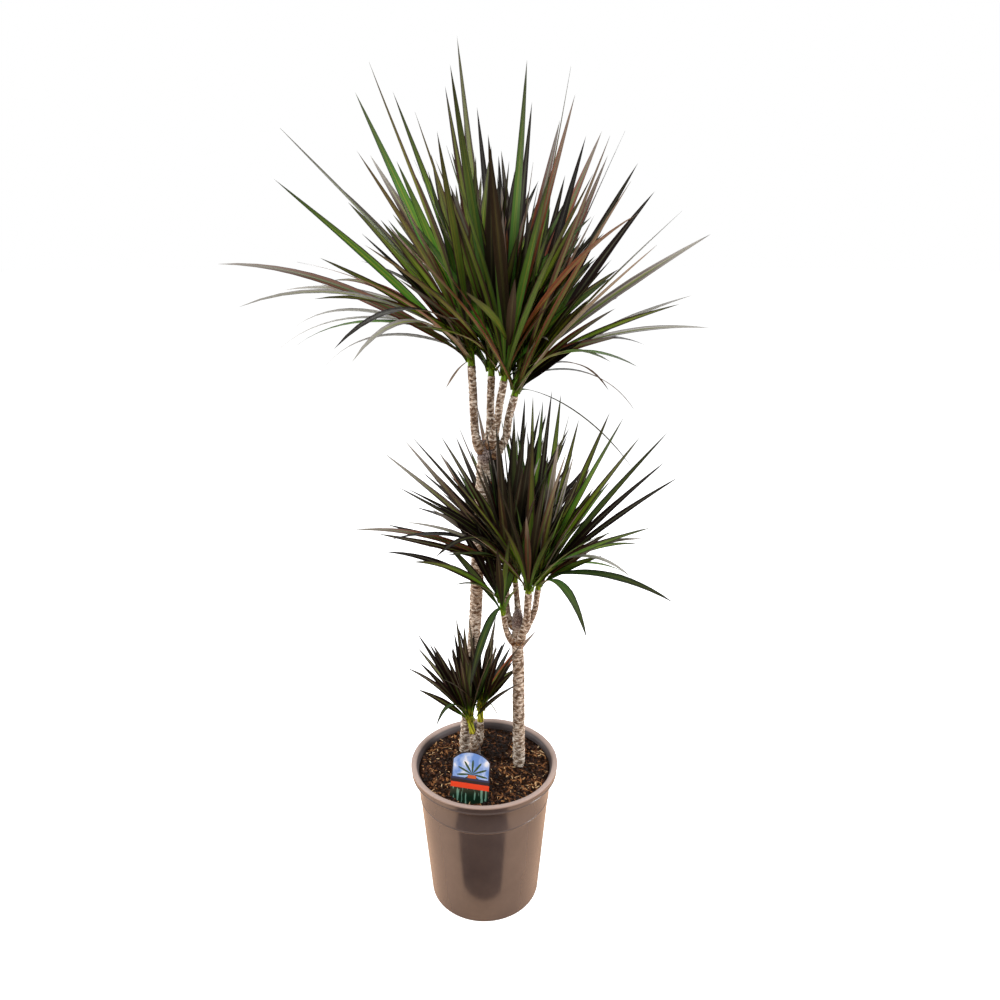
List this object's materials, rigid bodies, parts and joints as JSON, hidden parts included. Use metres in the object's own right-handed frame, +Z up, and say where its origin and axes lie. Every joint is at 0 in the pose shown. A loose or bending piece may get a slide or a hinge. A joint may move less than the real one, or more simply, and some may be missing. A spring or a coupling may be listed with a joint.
{
  "type": "potted dracaena plant",
  "caption": "Potted dracaena marginata: bare canes of different height with spiky crowns of narrow dark leaves, in a round tapered grower's pot with soil and a plain plant label.",
  "frame": {"origin": "centre of the pot's foot, on the plane that the pot stands on", "axes": "+Z up along the pot's axis, -Y towards the side with the plant label, +X to the right as seen from there"},
  "size_m": [0.639, 0.6105, 1.1301],
  "materials": {
    "pot_plastic": "smooth moulded, glossy taupe",
    "potting_mix": "loose crumbs and bark chips",
    "label_card": "printed, satin",
    "bark": "ringed with leaf scars, matt",
    "leaves": "waxy green, edged dark purple"
  },
  "bodies": {
    "root": {"pot": "pot_plastic", "soil": "potting_mix", "label": "label_card", "cane_tall": "bark", "cane_middle": "bark", "cane_short": "bark", "crown_tall": "leaves", "crown_middle": "leaves", "crown_short": "leaves"}
  },
  "joints": []
}
